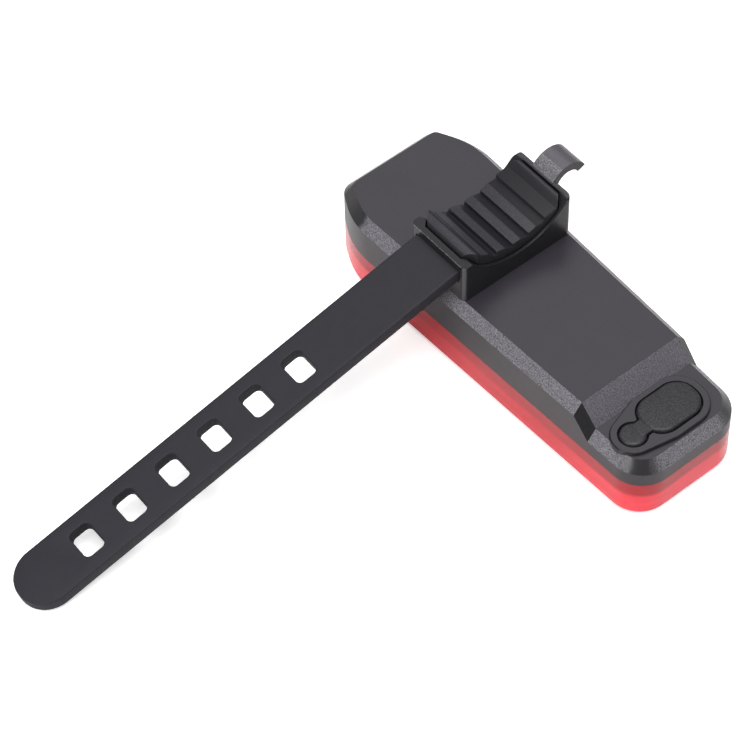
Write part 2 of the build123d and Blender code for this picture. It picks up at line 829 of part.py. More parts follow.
def strap_segment(start, end, hole_at, is_tip):
    """One length of the strap, from start to end along it, with its square hole."""
    near = start + segment_gap
    plane = Plane(
        origin=strap_root + strap_direction * near - strap_normal * (strap_thickness / 2),
        x_dir=across,
        z_dir=strap_normal,
    )
    length = end - near
    with BuildPart() as segment:
        with BuildSketch(plane):
            if is_tip:
                straight = length - strap_width / 2
                Rectangle(strap_width, straight, align=(Align.CENTER, Align.MIN))
                with Locations((0, straight)):
                    Circle(strap_width / 2)
            else:
                Rectangle(strap_width, length, align=(Align.CENTER, Align.MIN))
        extrude(amount=strap_thickness)
        rims = segment.edges().filter_by(lambda e: abs(e.tangent_at(0.5).dot(strap_direction)) > 0.999)
        chamfer(rims, strap_edge_bevel)
        if hole_at is not None:
            with BuildSketch(plane):
                with Locations((0, hole_at - near)):
                    RectangleRounded(hole_width, hole_length, hole_corner_radius)
            extrude(amount=strap_thickness, mode=Mode.SUBTRACT)
    return segment.part


for index, (start, end) in enumerate(zip(segment_starts, segment_ends)):
    has_hole = index >= root_segments
    hole_at = start + hole_pitch / 2 if has_hole else None
    segment_part = strap_segment(start, end, hole_at, index == len(segment_starts) - 1)
    segment_part.label = f"strap_segment_{index + 1}"
    export_step(segment_part, f"parts/strap_segment_{index + 1}.step")
    hinge = strap_root + strap_direction * (start + segment_gap / 2)
    hinge += strap_normal * (strap_thickness / 2)
    print(f"hinge {index + 1} at {hinge.X:.4f} {hinge.Y:.4f} {hinge.Z:.4f}")

print(f"hinge axis {across.X:.6f} {across.Y:.6f} {across.Z:.6f}, slope {math.degrees(strap_slope):.3f}")
print(f"cover hinge y {neck_y:.3f} z {cover_top:.3f}")
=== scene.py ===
import math

import bmesh
import bpy
from mathutils import Matrix, Vector


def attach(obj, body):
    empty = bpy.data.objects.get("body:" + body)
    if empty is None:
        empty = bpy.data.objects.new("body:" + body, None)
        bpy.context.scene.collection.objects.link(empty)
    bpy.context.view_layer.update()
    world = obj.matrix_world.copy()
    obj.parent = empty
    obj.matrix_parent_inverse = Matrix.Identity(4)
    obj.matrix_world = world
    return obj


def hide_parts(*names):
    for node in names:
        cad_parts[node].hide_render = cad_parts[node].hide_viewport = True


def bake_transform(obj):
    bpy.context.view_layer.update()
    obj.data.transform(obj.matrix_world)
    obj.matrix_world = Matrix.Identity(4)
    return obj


MM = 0.001

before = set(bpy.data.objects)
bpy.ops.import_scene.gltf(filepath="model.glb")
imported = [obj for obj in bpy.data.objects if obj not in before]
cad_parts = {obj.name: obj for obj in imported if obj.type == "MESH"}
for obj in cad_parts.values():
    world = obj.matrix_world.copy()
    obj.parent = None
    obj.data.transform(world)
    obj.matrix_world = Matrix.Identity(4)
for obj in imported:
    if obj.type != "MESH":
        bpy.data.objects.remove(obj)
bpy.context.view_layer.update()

# Sizes that the pieces share with the solids, in millimetres
lens_depth = 8.4
lower_deck = 13.4
bevel_drop = 2.15
rim_rise = 0.56
step_top_x = 23.4
step_foot_x = 26.9
strap_root = Vector((-11.75, -12.0, 22.6))
strap_yaw = math.radians(1.6)
strap_slope = math.radians(13.946)
strap_width = 10.9
strap_thickness = 2.5
strap_length = 88.9
strap_tucked = 1.6
hole_first = 29.7
hole_pitch = 9.0
hole_count = 6
hole_width = 5.6
hole_length = 4.0
hole_corner = 1.0
root_length = 25.2
root_segments = 3
saddle_x = -11.75
bracket_half_length = 6.9
near_wall_y = -11.8
near_wall_top = 25.6
far_wall_inside_y = 11.2
far_wall_outside_y = 12.0
far_wall_top = 26.6
wall_end_radius = 1.3
hook_half_width = 2.6
hook_front_y = 10.8
hook_crest_y = 13.4
post_y, post_z, post_radius = 0.3, 36.5, 13.6
pad_near_y, pad_far_y = -10.3, 11.1
pad_underside_radius, pad_underside_middle_z = 27.9, 47.3
pad_half_width = 6.3
pad_corner = 1.8
rib_first_y = -7.6
rib_pitch = 3.5
last_rib_y = 6.4
rib_land = 1.7
rib_rise = 0.3
rib_fall = 0.45

# How far a face's middle may lie past a size and still count as being there
slack = 0.2


def srgb(red, green, blue):
    """A colour from its 0 to 255 screen values, as the shaders want it."""
    def channel(value):
        share = value / 255
        return share / 12.92 if share <= 0.04045 else ((share + 0.055) / 1.055) ** 2.4
    return (channel(red), channel(green), channel(blue), 1.0)


# Materials
grains_in_cloud = 23
corner_mark = "glossy_corner"
# Marks faces that get a grainy texture and a paler tone that is painted light.
land_grain_and_painted_light = "textured_land"


def new_material(name):
    """An empty node material with its Principled shader."""
    material = bpy.data.materials.new(name)
    material.use_nodes = True
    return material, material.node_tree, material.node_tree.nodes["Principled BSDF"]


def object_coordinates(tree):
    """Places in the piece's own frame, so that a grain stays put as the piece moves."""
    return tree.nodes.new("ShaderNodeTexCoord").outputs["Object"]


def add_noise(tree, coordinates, grain_mm, detail=3.0, roughness=0.55):
    """Noise whose grains are about grain_mm across."""
    noise = tree.nodes.new("ShaderNodeTexNoise")
    noise.inputs["Scale"].default_value = 1 / (grain_mm * MM)
    noise.inputs["Detail"].default_value = detail
    noise.inputs["Roughness"].default_value = roughness
    tree.links.new(coordinates, noise.inputs["Vector"])
    return noise.outputs["Fac"]


def add_ramp(tree, factor, stops):
    """A colour ramp through (position, colour) stops."""
    ramp = tree.nodes.new("ShaderNodeValToRGB")
    ramp.color_ramp.elements[0].position = stops[0][0]
    ramp.color_ramp.elements[0].color = stops[0][1]
    ramp.color_ramp.elements[1].position = stops[-1][0]
    ramp.color_ramp.elements[1].color = stops[-1][1]
    for position, colour in stops[1:-1]:
        ramp.color_ramp.elements.new(position).color = colour
    tree.links.new(factor, ramp.inputs["Fac"])
    return ramp.outputs["Color"]


def add_bump(tree, shader, height, depth_mm):
    """Fine relief, depth_mm deep, that follows a height."""
    bump = tree.nodes.new("ShaderNodeBump")
    bump.inputs["Distance"].default_value = depth_mm * MM
    bump.inputs["Strength"].default_value = 1.0
    tree.links.new(height, bump.inputs["Height"])
    tree.links.new(bump.outputs["Normal"], shader.inputs["Normal"])


def math_node(tree, operation, first, second=None):
    """The result of one sum on sockets or plain numbers."""
    node = tree.nodes.new("ShaderNodeMath")
    node.operation = operation
    for socket, value in zip(node.inputs, (first, second)):
        if isinstance(value, bpy.types.NodeSocket):
            tree.links.new(value, socket)
        elif value is not None:
            socket.default_value = value
    return node.outputs[0]


def remapped(tree, value, from_range, to_range, interpolation="LINEAR"):
    """A value moved from one range to another."""
    node = tree.nodes.new("ShaderNodeMapRange")
    node.interpolation_type = interpolation
    node.inputs["From Min"].default_value, node.inputs["From Max"].default_value = from_range
    node.inputs["To Min"].default_value, node.inputs["To Max"].default_value = to_range
    tree.links.new(value, node.inputs["Value"])
    return node.outputs["Result"]


def mixed_colour(tree, share, first, second, blend_type="MIX"):
    """The first colour with a share of the second mixed in, or multiplied by it."""
    mix = tree.nodes.new("ShaderNodeMix")
    mix.data_type = "RGBA"
    mix.blend_type = blend_type
    if isinstance(share, bpy.types.NodeSocket):
        tree.links.new(share, mix.inputs["Factor"])
    else:
        mix.inputs["Factor"].default_value = share
    tree.links.new(first, mix.inputs["A"])
    tree.links.new(second, mix.inputs["B"])
    return mix.outputs["Result"]


def face_mark(tree, name):
    """The value that a piece's mesh carries under a name."""
    mark = tree.nodes.new("ShaderNodeAttribute")
    mark.attribute_name = name
    return mark.outputs["Fac"]


def grained(name, dark, light, roughness_range, grain_mm, depth_mm, shine=0.5, metallic=0.0):
    """A moulded finish: colour, gloss and relief all follow one grain."""
    material, tree, shader = new_material(name)
    coordinates = object_coordinates(tree)
    grain = add_noise(tree, coordinates, grain_mm)
    cloud = add_noise(tree, coordinates, grain_mm * grains_in_cloud, detail=2.0)
    colour = add_ramp(tree, grain, [(0.3, dark), (0.7, light)])
    tree.links.new(colour, shader.inputs["Base Color"])
    gloss = remapped(tree, cloud, (0.15, 0.85), roughness_range, "SMOOTHSTEP")
    tree.links.new(gloss, shader.inputs["Roughness"])
    add_bump(tree, shader, grain, depth_mm)
    shader.inputs["Specular IOR Level"].default_value = shine
    shader.inputs["Metallic"].default_value = metallic
    return material


def red_lens_plastic():
    """Tinted clear plastic, deeper in colour along its middle and in a band before the housing's
    tongue, paler towards its ends.
    """
    material, tree, shader = new_material("tinted_red_lens")
    coordinates = object_coordinates(tree)
    split = tree.nodes.new("ShaderNodeSeparateXYZ")
    tree.links.new(coordinates, split.inputs["Vector"])
    height = remapped(tree, split.outputs["Z"], (0.0, lens_depth * MM), (0.0, 1.0))
    band_deep, band_top = srgb(176, 17, 29), srgb(168, 15, 27)
    along_middle = add_ramp(tree, height, [
        (0.0, srgb(218, 40, 54)), (0.58, srgb(204, 31, 43)), (0.70, band_deep), (1.0, band_top),
    ])
    at_ends = add_ramp(tree, height, [
        (0.0, srgb(250, 66, 82)), (0.58, srgb(242, 56, 70)), (0.70, band_deep), (1.0, band_top),
    ])
    away = math_node(tree, "ABSOLUTE", split.outputs["X"])
    ends = remapped(tree, away, (14 * MM, 37 * MM), (0.0, 1.0), "SMOOTHSTEP")
    whole = mixed_colour(tree, ends, along_middle, at_ends)
    flow = tree.nodes.new("ShaderNodeMapping")
    flow.inputs["Scale"].default_value = (0.12, 0.12, 1.0)
    tree.links.new(coordinates, flow.inputs["Vector"])
    streaks = add_noise(tree, flow.outputs["Vector"], 0.9, detail=2.0)
    tint = add_ramp(tree, streaks, [(0.3, srgb(236, 233, 233)), (0.7, srgb(255, 255, 255))])
    streaked = mixed_colour(tree, 1.0, whole, tint, "MULTIPLY")
    tree.links.new(streaked, shader.inputs["Base Color"])
    shader.inputs["Roughness"].default_value = 0.16
    shader.inputs["IOR"].default_value = 1.49
    shader.inputs["Specular IOR Level"].default_value = 0.3
    shader.inputs["Transmission Weight"].default_value = 0.1
    shader.inputs["Coat Weight"].default_value = 0.08
    shader.inputs["Coat Roughness"].default_value = 0.05
    add_bump(tree, shader, add_noise(tree, coordinates, 2.2, detail=1.0), 0.02)
    return material


def spark_eroded_bevel():
    """Sparkling grain on the straight bevels that dies out to dark gloss in the corners."""
    material, tree, shader = new_material("spark_eroded_bevel")
    coordinates = object_coordinates(tree)
    grain = add_noise(tree, coordinates, 0.2)
    eroded = add_ramp(tree, grain, [(0.32, srgb(44, 43, 46)), (0.68, srgb(128, 125, 132))])
    glossy = add_ramp(tree, grain, [(0.3, srgb(33, 32, 35)), (0.7, srgb(41, 40, 43))])
    corner = face_mark(tree, corner_mark)
    colour = mixed_colour(tree, corner, eroded, glossy)
    tree.links.new(colour, shader.inputs["Base Color"])
    gloss = remapped(tree, corner, (0.0, 1.0), (0.4, 0.29))
    tree.links.new(gloss, shader.inputs["Roughness"])
    shader.inputs["Specular IOR Level"].default_value = 0.4
    relief = remapped(tree, corner, (0.0, 1.0), (1.0, 0.1))
    add_bump(tree, shader, math_node(tree, "MULTIPLY", grain, relief), 0.06)
    return material


def ribbed_pad_rubber():
    """Dark rubber, grainier on the ribs' lands, where the mould was textured, and paler there as
    painted light on these up-facing faces.
    """
    material, tree, shader = new_material("moulded_pad_rubber")
    coordinates = object_coordinates(tree)
    grain = add_noise(tree, coordinates, 0.14)
    smooth = add_ramp(tree, grain, [(0.3, srgb(26, 25, 29)), (0.7, srgb(33, 32, 37))])
    grainy_and_painted_light_colour = add_ramp(tree, grain, [(0.35, srgb(36, 35, 40)), (0.7, srgb(62, 61, 67))])
    colour = mixed_colour(tree, face_mark(tree, land_grain_and_painted_light), smooth, grainy_and_painted_light_colour)
    tree.links.new(colour, shader.inputs["Base Color"])
    shader.inputs["Roughness"].default_value = 0.55
    shader.inputs["Specular IOR Level"].default_value = 0.25
    add_bump(tree, shader, grain, 0.012)
    return material


deck_finish = grained("satin_deck", srgb(36, 33, 40), srgb(41, 38, 45), (0.29, 0.37), 0.35, 0.002)
bevel_finish = spark_eroded_bevel()
step_finish = grained(
    "spark_eroded_step", srgb(50, 48, 53), srgb(106, 103, 110), (0.35, 0.5), 0.2, 0.05
)
skirt_finish = grained(
    "glossy_skirt", srgb(44, 41, 45), srgb(50, 47, 51), (0.34, 0.4), 0.5, 0.002, shine=0.3
)
# Painted shade: a darker tone than the deck, on the same plastic, for the step's near-end facet and
# the port rim's slopes.
facet_painted_shade = grained(
    "glossy_facet", srgb(26, 26, 28), srgb(32, 32, 34), (0.29, 0.34), 0.5, 0.002, shine=0.2
)
bracket_finish = grained(
    "glossy_bracket", srgb(28, 27, 30), srgb(34, 33, 36), (0.29, 0.35), 0.6, 0.002, shine=0.28
)
hook_finish = grained(
    "spark_eroded_hook", srgb(32, 31, 34), srgb(124, 122, 128), (0.29, 0.4), 0.2, 0.07
)
hook_top_finish = grained(
    "satin_hook", srgb(68, 66, 71), srgb(84, 82, 88), (0.3, 0.42), 0.25, 0.008
)
strap_finish = grained(
    "moulded_strap_rubber", srgb(35, 34, 39), srgb(43, 42, 48), (0.55, 0.66), 0.12, 0.006, shine=0.2
)
wall_top_finish = grained(
    "spark_eroded_wall_top", srgb(22, 22, 24), srgb(78, 76, 80), (0.34, 0.45), 0.2, 0.05, shine=0.3
)
# Painted highlight: a near-white colour on the strips along the near wall's outer top edge stands
# in for the softbox's highlight there.
wall_edge_painted_highlight = grained(
    "polished_wall_edge", srgb(186, 184, 190), srgb(204, 202, 208), (0.29, 0.33), 0.3, 0.002
)
# Painted highlight: paler than the bracket's plastic, on the near corner's rounded upright edge and
# on the right side wall's top edge.
wall_corner_painted_highlight = grained(
    "satin_wall_corner", srgb(42, 41, 45), srgb(50, 49, 53), (0.3, 0.4), 0.3, 0.003
)
cover_finish = grained(
    "soft_cover_rubber", srgb(20, 20, 23), srgb(55, 54, 59), (0.34, 0.5), 0.26, 0.03, shine=0.3
)
button_finish = grained(
    "soft_button_rubber", srgb(34, 34, 36), srgb(40, 40, 43), (0.45, 0.6), 0.15, 0.006
)
gasket_finish = grained(
    "gasket_rubber", srgb(24, 24, 25), srgb(30, 30, 32), (0.55, 0.7), 0.2, 0.006
)
reflector_finish = grained(
    "white_reflector", srgb(214, 214, 212), srgb(226, 226, 224), (0.2, 0.3), 0.8, 0.003
)
board_finish = grained(
    "board_solder_mask", srgb(20, 82, 44), srgb(28, 96, 54), (0.3, 0.4), 0.5, 0.006
)
diode_finish = grained(
    "diode_phosphor", srgb(226, 206, 120), srgb(238, 224, 150), (0.35, 0.5), 0.25, 0.006
)
chip_finish = grained("chip_epoxy", srgb(26, 26, 28), srgb(34, 34, 36), (0.5, 0.6), 0.1, 0.003)
screw_finish = grained(
    "plated_screw", srgb(150, 150, 154), srgb(186, 186, 190), (0.25, 0.4), 0.15, 0.004,
    metallic=1.0,
)
foil_finish = grained(
    "battery_foil", srgb(140, 146, 154), srgb(166, 170, 178), (0.25, 0.4), 1.4, 0.02, metallic=0.6
)
foam_finish = grained(
    "closed_cell_foam", srgb(34, 34, 36), srgb(52, 52, 54), (0.85, 0.95), 0.25, 0.08
)
red_wire_finish = grained(
    "red_wire_jacket", srgb(176, 22, 22), srgb(196, 30, 28), (0.35, 0.45), 0.3, 0.004
)
black_wire_finish = grained(
    "black_wire_jacket", srgb(24, 24, 25), srgb(32, 32, 33), (0.35, 0.45), 0.3, 0.004
)
plunger_finish = grained(
    "white_plunger", srgb(206, 206, 202), srgb(220, 220, 216), (0.35, 0.45), 0.3, 0.004
)
lens_finish = red_lens_plastic()
pad_finish = ribbed_pad_rubber()


# Mesh helpers

def new_piece(name, mesh, materials):
    """A shown object at the origin, with its materials in order."""
    mesh.name = name
    piece = bpy.data.objects.new(name, mesh)
    bpy.context.scene.collection.objects.link(piece)
    mesh.materials.clear()
    for material in materials:
        mesh.materials.append(material)
    return piece


def smooth_by_angle(mesh, degrees):
    """Smooth shading, broken at every edge that turns by more than the angle."""
    for face in mesh.polygons:
        face.use_smooth = True
    mesh.set_sharp_from_angle(angle=math.radians(degrees))


def applied(piece):
    """The piece's mesh with its modifiers worked in, and the modifiers taken off."""
    bpy.context.view_layer.update()
    evaluated = piece.evaluated_get(bpy.context.evaluated_depsgraph_get())
    mesh = bpy.data.meshes.new_from_object(evaluated)
    piece.modifiers.clear()
    old = piece.data
    piece.data = mesh
    bpy.data.meshes.remove(old)
    mesh.name = piece.name


def level_flat_faces(piece):
    """Shades each large face flat right up to its rounded corners."""
    weighted = piece.modifiers.new("level_faces", "WEIGHTED_NORMAL")
    weighted.weight = 50
    weighted.keep_sharp = True
    applied(piece)


def cut_off(solid, tool):
    """The solid less the tool's shape; both are closed, and both are used up."""
    holders = []
    for part in (solid, tool):
        mesh = bpy.data.meshes.new("part_being_cut")
        part.to_mesh(mesh)
        part.free()
        holder = bpy.data.objects.new("part_being_cut", mesh)
        bpy.context.scene.collection.objects.link(holder)
        holders.append(holder)
    cut = holders[0].modifiers.new("cut", "BOOLEAN")
    cut.operation = "DIFFERENCE"
    cut.solver = "EXACT"
    cut.object = holders[1]
    applied(holders[0])
    result = bmesh.new()
    result.from_mesh(holders[0].data)
    for holder in holders:
        bpy.data.objects.remove(holder)
    return result


def turn_outward(solid):
    """Makes all the faces of a closed solid look outward."""
    bmesh.ops.recalc_face_normals(solid, faces=solid.faces)
    if solid.calc_volume(signed=True) < 0:
        bmesh.ops.reverse_faces(solid, faces=solid.faces)


def extruded(points, run):
    """A closed solid with a flat outline, run along a vector."""
    solid = bmesh.new()
    cap = solid.faces.new([solid.verts.new(point) for point in points])
    grown = bmesh.ops.extrude_face_region(solid, geom=[cap])
    moved = [v for v in grown["geom"] if isinstance(v, bmesh.types.BMVert)]
    bmesh.ops.translate(solid, verts=moved, vec=run)
    turn_outward(solid)
    return solid


def cut_and_close(solid, place, outward):
    """Takes off what lies outward of a plane, and closes the cut."""
    cut = bmesh.ops.bisect_plane(
        solid, geom=solid.verts[:] + solid.edges[:] + solid.faces[:], dist=0.0005,
        plane_co=place, plane_no=outward, clear_outer=True,
    )
    rim = [e for e in cut["geom_cut"] if isinstance(e, bmesh.types.BMEdge)]
    bmesh.ops.holes_fill(solid, edges=rim, sides=0)


def round_corners(solid, degrees, radius, steps):
    """Rounds each edge that turns by more than the angle."""
    corners = [
        e for e in solid.edges if e.is_manifold and e.calc_face_angle(0) > math.radians(degrees)
    ]
    bmesh.ops.bevel(
        solid, geom=corners, offset=radius, offset_type="OFFSET", segments=steps, profile=0.5,
        affect="EDGES", clamp_overlap=True, loop_slide=True,
    )


def arc(centre, radius, start_degrees, end_degrees, steps):
    """Points along an arc, both ends included."""
    points = []
    for index in range(steps + 1):
        angle = math.radians(start_degrees + (end_degrees - start_degrees) * index / steps)
        points.append((centre[0] + radius * math.cos(angle), centre[1] + radius * math.sin(angle)))
    return points


def wall_corner_tool(x_side):
    """What is taken off the tray's far wall to round one end of its top."""
    near_y, run, clear = far_wall_inside_y - 2.2, 4.0, 1.0
    edge = saddle_x + x_side * bracket_half_length
    middle = (edge - x_side * wall_end_radius, far_wall_top - wall_end_radius)
    profile = arc(middle, wall_end_radius, 0 if x_side > 0 else 180, 90, 6)
    beyond = edge + x_side * clear
    above = far_wall_top + clear
    profile += [(middle[0], above), (beyond, above), (beyond, middle[1])]
    return extruded([(x * MM, near_y * MM, z * MM) for x, z in profile], (0, run * MM, 0))


def rounded_copy(node, name, materials, rounding_mm, steps=2, corner_degrees=24, tools=()):
    """The node's solid with clean faces and its sharp corners rounded off."""
    solid = bmesh.new()
    solid.from_mesh(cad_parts[node].data)
    bmesh.ops.remove_doubles(solid, verts=solid.verts, dist=0.002 * MM)
    bmesh.ops.dissolve_limit(
        solid, angle_limit=math.radians(0.6), verts=solid.verts, edges=solid.edges
    )
    for tool in tools:
        solid = cut_off(solid, tool)
    round_corners(solid, corner_degrees, rounding_mm * MM, steps)
    mesh = bpy.data.meshes.new(name)
    solid.to_mesh(mesh)
    solid.free()
    smooth_by_angle(mesh, 30)
    piece = new_piece(name, mesh, materials)
    level_flat_faces(piece)
    return piece


def rounded_rectangle(centre, width, length, radius, steps=6):
    """Outline of a rectangle with round corners."""
    x, y = centre
    dx, dy = width / 2 - radius, length / 2 - radius
    points = []
    for quarter, (x_side, y_side) in enumerate(((1, 1), (-1, 1), (-1, -1), (1, -1))):
        corner = (x + x_side * dx, y + y_side * dy)
        points += arc(corner, radius, quarter * 90, quarter * 90 + 90, steps)
    return points


def moulded_sheet(name, outlines, thickness, edge_radius, edge_steps=3):
    """A flat moulding cut to its outlines, the first outside and the others holes, edges rounded.

    The outlines are in the plane and in millimetres; the mesh is centred on the plane.
    """
    curve = bpy.data.curves.new(name, "CURVE")
    curve.dimensions = "2D"
    curve.fill_mode = "BOTH"
    curve.extrude = thickness / 2 - edge_radius
    curve.bevel_depth = edge_radius
    curve.bevel_resolution = edge_steps
    for outline in outlines:
        spline = curve.splines.new("POLY")
        spline.points.add(len(outline) - 1)
        for point, (x, y) in zip(spline.points, outline):
            point.co = (x, y, 0, 1)
        spline.use_cyclic_u = True
    holder = bpy.data.objects.new(name, curve)
    bpy.context.scene.collection.objects.link(holder)
    bpy.context.view_layer.update()
    evaluated = holder.evaluated_get(bpy.context.evaluated_depsgraph_get())
    mesh = bpy.data.meshes.new_from_object(evaluated)
    bpy.data.objects.remove(holder)
    sheet = bmesh.new()
    sheet.from_mesh(mesh)
    bmesh.ops.remove_doubles(sheet, verts=sheet.verts, dist=0.002)
    turn_outward(sheet)
    bpy.data.meshes.remove(mesh)
    return sheet


def cut_across(sheet, position):
    """A row of edges across the sheet at y = position, so that it can bend there."""
    bmesh.ops.bisect_plane(
        sheet, geom=sheet.verts[:] + sheet.edges[:] + sheet.faces[:], dist=0.0005,
        plane_co=(0, position, 0), plane_no=(0, 1, 0),
    )


def slice_between(sheet, low, high):
    """A closed copy of the sheet between two values of y."""
    part = sheet.copy()
    for position, keep_side in ((low, 1), (high, -1)):
        if position is not None:
            cut_and_close(part, (0, position, 0), (0, -keep_side, 0))
    return part


# Housing: the moulded shell, with its own finish on the decks, the bevel and the step

def paint_housing(mesh):
    """Gives each face of the shell the finish of the surface it belongs to, and painted shade to
    the step's near-end facet and the port rim's slopes.
    """
    deck, bevel, step, skirt, painted_shade_facet_slot = range(5)
    for face in mesh.polygons:
        x, z = face.center.x / MM, face.center.z / MM
        turned = face.normal
        past_step = x > step_foot_x
        over_step = step_top_x - slack < x < step_foot_x + slack
        by_step = step_top_x - 3 < x < step_foot_x + 1 and 0.1 < turned.z < 0.97
        on_rim = past_step and lower_deck < z < lower_deck + rim_rise and abs(turned.z) < 0.8
        on_lower_deck = past_step and z > lower_deck - 0.02 and turned.z > 0.1
        if over_step and turned.x > 0.3 and abs(turned.y) < 0.3:
            face.material_index = step
        # The port rim's slopes and the step's near-end facet get the painted shade.
        elif on_rim or (by_step and turned.x > 0.25):
            face.material_index = painted_shade_facet_slot
        elif on_lower_deck or turned.z > 0.97:
            face.material_index = deck
        elif turned.z > 0.25 and z > lower_deck - bevel_drop - 0.6:
            face.material_index = bevel
        else:
            face.material_index = skirt
    share = mesh.attributes.new(corner_mark, "FLOAT", "CORNER")
    for face in mesh.polygons:
        for corner in face.loop_indices:
            normal = mesh.corner_normals[corner].vector
            level = max(math.hypot(normal.x, normal.y), 0.001)
            slant = min(abs(normal.x), abs(normal.y)) / level
            at_left_end = face.center.x < 0 and normal.x / level < -0.12
            share.data[corner].value = 1.0 if at_left_end else min(1.0, slant / 0.5)


housing = rounded_copy(
    "back_housing", "housing_shell",
    [deck_finish, bevel_finish, step_finish, skirt_finish, facet_painted_shade],
    0.14,
)
paint_housing(housing.data)
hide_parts("back_housing")
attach(housing, "lamp")

lens = rounded_copy("lens", "red_lens", [lens_finish], 0.12)
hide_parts("lens")
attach(lens, "lamp")


# Bracket: the tray with its hook

def paint_bracket(mesh):
    """Grain on the hook's root and the far wall's top, and painted highlights, dim or bright, on
    rounded edges.
    """
    glossy, hook_root, hook_top, wall_top, painted_highlight_edge_slot, painted_highlight_corner_slot = range(6)
    for face in mesh.polygons:
        x, y, z = (c / MM for c in face.center)
        turned = face.normal
        off_middle = abs(x - saddle_x)
        on_hook = y > hook_front_y - slack and z > 22.0 and off_middle < hook_half_width + 0.15
        above_wall = z > far_wall_top + 0.05
        over_far_wall = far_wall_inside_y - slack < y < far_wall_outside_y + slack
        by_near_wall = y < near_wall_y + 0.4 and off_middle < bracket_half_length - 0.9
        by_near_corner = y < near_wall_y + 1.1 and x > saddle_x + bracket_half_length - 1.1
        by_saddle = x > saddle_x + bracket_half_length - slack and z > 20.5
        if on_hook and above_wall and y < hook_crest_y and turned.y < 0.5:
            face.material_index = hook_root
        elif on_hook and y >= hook_crest_y and turned.z > 0.1:
            face.material_index = hook_top
        elif over_far_wall and z > far_wall_top - 0.4 and not above_wall and turned.z > 0.3:
            face.material_index = wall_top
        # The near wall's outer top edge gets the bright painted highlight.
        elif by_near_wall and z > near_wall_top - 0.4 and turned.y < -0.2 and turned.z > 0.25:
            face.material_index = painted_highlight_edge_slot
        # The near corner's rounded upright edge and the right side wall's top edge get the dimmer
        # painted highlight.
        elif by_near_corner and 0.4 < turned.x < 0.92 and turned.y < -0.35:
            face.material_index = painted_highlight_corner_slot
        elif by_saddle and turned.x > 0.2 and turned.z > 0.2:
            face.material_index = painted_highlight_corner_slot
        else:
            face.material_index = glossy


bracket = rounded_copy(
    "strap_bracket", "saddle_bracket",
    [
        bracket_finish, hook_finish, hook_top_finish, wall_top_finish, wall_edge_painted_highlight,
        wall_corner_painted_highlight,
    ],
    0.2, steps=3, tools=[wall_corner_tool(-1), wall_corner_tool(1)],
)
paint_bracket(bracket.data)
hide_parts("strap_bracket")
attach(bracket, "lamp")


# Saddle pad: a moulded body, and its ribs set round the seat post's line

def saddle_height(y):
    """Height of the seat post's circle over the pad, in millimetres."""
    return post_z - math.sqrt(post_radius**2 - (y - post_y) ** 2)


def pad_profile():
    """The pad's side view: lip, saddle floor, last land, roll, and the underside."""
    points = [(pad_near_y, 21.5), (pad_near_y, 25.4)]
    points += [(-10.2, 25.95), (-9.95, 26.35), (-9.6, 26.62), (-9.15, 26.78), (-8.7, 26.75)]
    points += [(-8.25, 26.58), (-7.85, 26.22), (-7.6, 25.62), (-7.5, 25.2)]
    for step in range(1, 25):
        y = rib_first_y + (last_rib_y - rib_first_y) * step / 24
        points.append((y, saddle_height(y) - rib_fall))
    points += [(last_rib_y + 0.05, saddle_height(last_rib_y) + rib_rise), (7.9, 24.88), (9.0, 25.1)]
    points += [(9.35, 25.5), (9.7, 26.1), (10.1, 26.42), (10.5, 26.48), (10.85, 26.2)]
    points.append((pad_far_y, 25.7))
    for step in range(21):
        y = pad_far_y + (pad_near_y - pad_far_y) * step / 20
        drop = math.sqrt(pad_underside_radius**2 - (y - post_y) ** 2)
        points.append((y, pad_underside_middle_z - drop))
    return points[:-1]


def cut_corner(solid, x_side, y_side):
    """Takes a corner off the pad, upright, as the tray has it."""
    corner = Vector((saddle_x + x_side * (pad_half_width - pad_corner), 0, 0))
    corner.y = pad_near_y if y_side < 0 else pad_far_y
    cut_and_close(solid, corner, (x_side, y_side, 0))


def rib_mesh():
    """One rib at the bottom of the post's circle, the circle's middle at the mesh's origin."""
    top = post_radius - rib_rise
    root = post_radius + rib_fall + 0.5
    land = math.degrees(rib_land / post_radius)
    pitch = math.degrees(rib_pitch / post_radius)
    profile = [(0.0, -root), (0.0, -top)]
    for step in range(1, 5):
        turn = math.radians(land * step / 4)
        profile.append((top * math.sin(turn), -top * math.cos(turn)))
    for step in range(1, 4):
        share = step / 3
        turn = math.radians(land + (pitch - land) * share)
        reach = top + (rib_rise + rib_fall) * share
        profile.append((reach * math.sin(turn), -reach * math.cos(turn)))
    turn = math.radians(pitch)
    profile.append((root * math.sin(turn), -root * math.cos(turn)))
    half = pad_half_width - 0.02
    solid = extruded([(-half, y, z) for y, z in profile], (2 * half, 0, 0))
    round_corners(solid, 20, 0.16, 2)
    mesh = bpy.data.meshes.new("saddle_rib")
    bmesh.ops.scale(solid, verts=solid.verts, vec=(MM, MM, MM))
    solid.to_mesh(mesh)
    solid.free()
    mark = mesh.attributes.new(land_grain_and_painted_light, "FLOAT", "FACE")
    for face in mesh.polygons:
        reach = math.hypot(face.center.y, face.center.z) / MM
        turned = math.degrees(math.atan2(face.center.y, -face.center.z))
        on_land = abs(reach - top) < 0.12 and -0.2 < turned < land + 0.4
        mark.data[face.index].value = 1.0 if on_land and abs(face.normal.x) < 0.5 else 0.0
    smooth_by_angle(mesh, 40)
    return mesh


def add_input(tree, name, kind, value):
    """A named input of the tree, set to its size."""
    tree.interface.new_socket(name, in_out="INPUT", socket_type=kind).default_value = value


